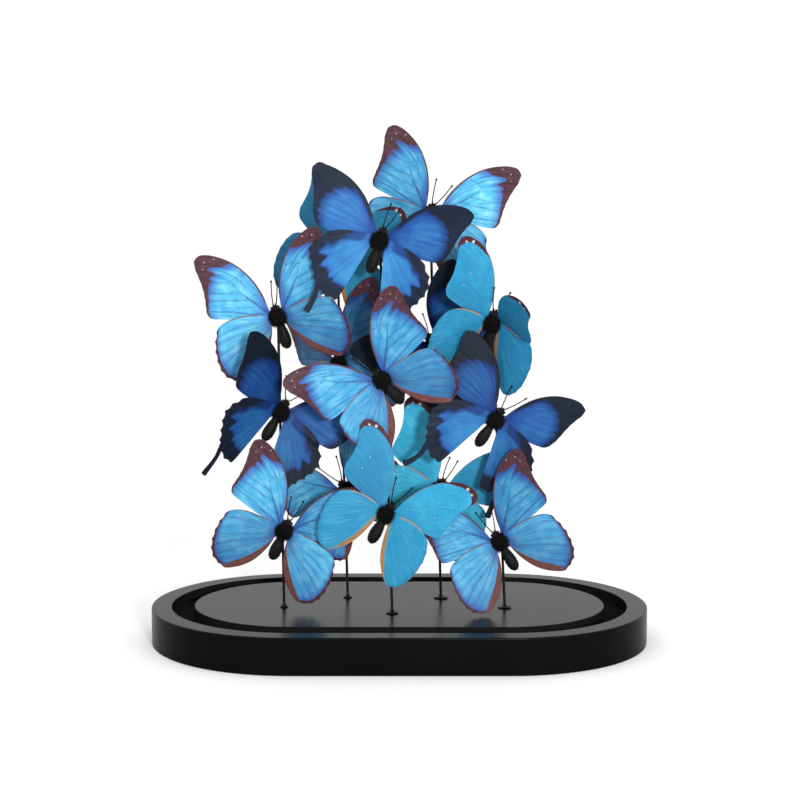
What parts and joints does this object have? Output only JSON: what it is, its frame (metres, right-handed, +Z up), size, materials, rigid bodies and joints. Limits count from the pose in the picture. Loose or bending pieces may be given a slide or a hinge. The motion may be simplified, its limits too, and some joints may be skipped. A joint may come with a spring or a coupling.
{
  "type": "mounted butterflies on oval display base",
  "caption": "Display of dried blue butterflies on thin upright rods, standing on a black oval base whose groove seats a dome.",
  "frame": {"origin": "centre of the base's underside", "axes": "+Z up, +X to the right along the base's length, -Y towards the front of the display"},
  "size_m": [0.35, 0.2044, 0.3613],
  "materials": {
    "black_lacquer": "satin black lacquer, evenly smooth, softly reflecting",
    "black_rod": "satin black",
    "black_foot": "satin black",
    "morpho_wing": "iridescent azure scales with maroon-brown tips, borders and inner folds, dark veins",
    "swallowtail_wing": "iridescent royal blue scales fading to black borders, dark veins, black tails",
    "turquoise_wing": "iridescent turquoise scales with maroon edge and orange inner strip, dark veins"
  },
  "bodies": {
    "root": {"base": "black_lacquer", "rod_1": "black_rod", "foot_1": "black_foot", "rod_2": "black_rod", "foot_2": "black_foot", "rod_3": "black_rod", "foot_3": "black_foot", "rod_4": "black_rod", "foot_4": "black_foot", "rod_5": "black_rod", "foot_5": "black_foot", "morpho_top": "morpho_wing", "swallowtail_top": "swallowtail_wing", "turquoise_top_back": "turquoise_wing", "morpho_left": "morpho_wing", "turquoise_right": "turquoise_wing", "morpho_back": "morpho_wing", "swallowtail_back": "swallowtail_wing", "morpho_centre": "morpho_wing", "swallowtail_left": "swallowtail_wing", "swallowtail_right": "swallowtail_wing", "morpho_bottom_left": "morpho_wing", "turquoise_bottom": "turquoise_wing", "morpho_bottom_right": "morpho_wing", "morpho_bottom_back": "morpho_wing", "turquoise_bottom_back": "turquoise_wing"}
  },
  "joints": []
}
